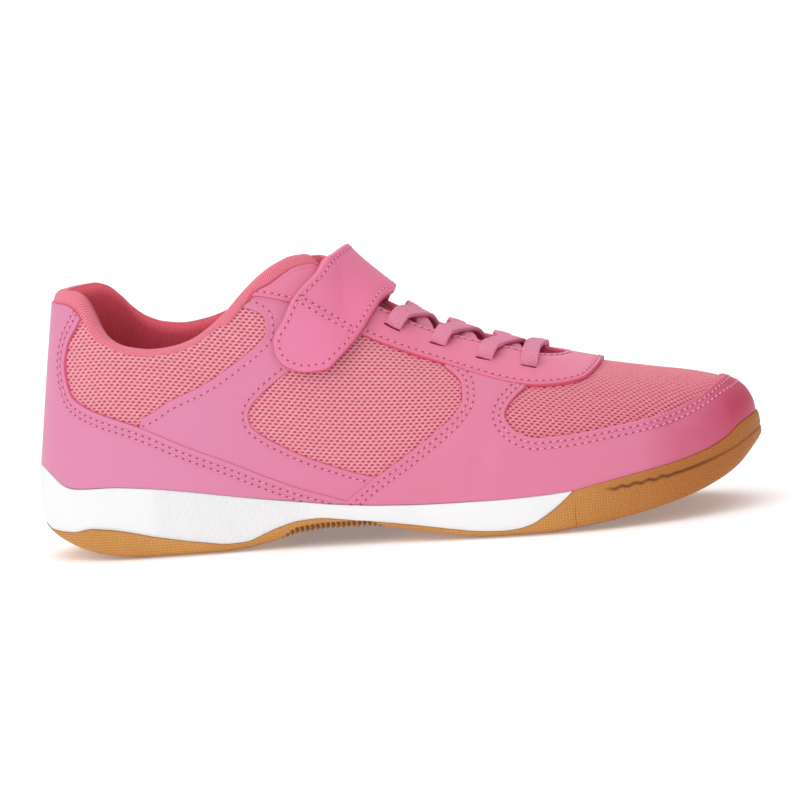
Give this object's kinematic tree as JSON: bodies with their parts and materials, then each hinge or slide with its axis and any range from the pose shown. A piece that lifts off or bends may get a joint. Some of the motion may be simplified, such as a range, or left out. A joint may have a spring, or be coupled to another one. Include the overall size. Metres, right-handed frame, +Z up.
{
  "type": "indoor court shoe",
  "caption": "Child's right indoor court shoe: low collar, mesh upper with smooth overlays, elastic crossed laces, instep strap, white foam midsole and wrapped gum outsole",
  "frame": {"origin": "middle of the sole's outline in plan, on the floor plane under the heel and forefoot flats", "axes": "+X from heel to toe, +Y to the inner side of the right foot, +Z up"},
  "size_m": [0.225, 0.0812, 0.0898],
  "materials": {
    "gum_rubber": "matt, fine waffle grain",
    "white_foam": "satin moulded foam",
    "mesh_cloth": "open knitted mesh",
    "lining_cloth": "ribbed knit",
    "overlay_leather": "smooth, soft sheen",
    "lace_elastic": "flat woven elastic"
  },
  "bodies": {
    "root": {"outsole": "gum_rubber", "midsole": "white_foam", "insole": "lining_cloth", "upper": "mesh_cloth", "tongue": "lining_cloth", "heel_counter": "overlay_leather", "quarter_outer": "overlay_leather", "quarter_inner": "overlay_leather", "forepart": "overlay_leather", "eyestay": "overlay_leather", "strap": "overlay_leather", "laces": "lace_elastic"}
  },
  "joints": []
}
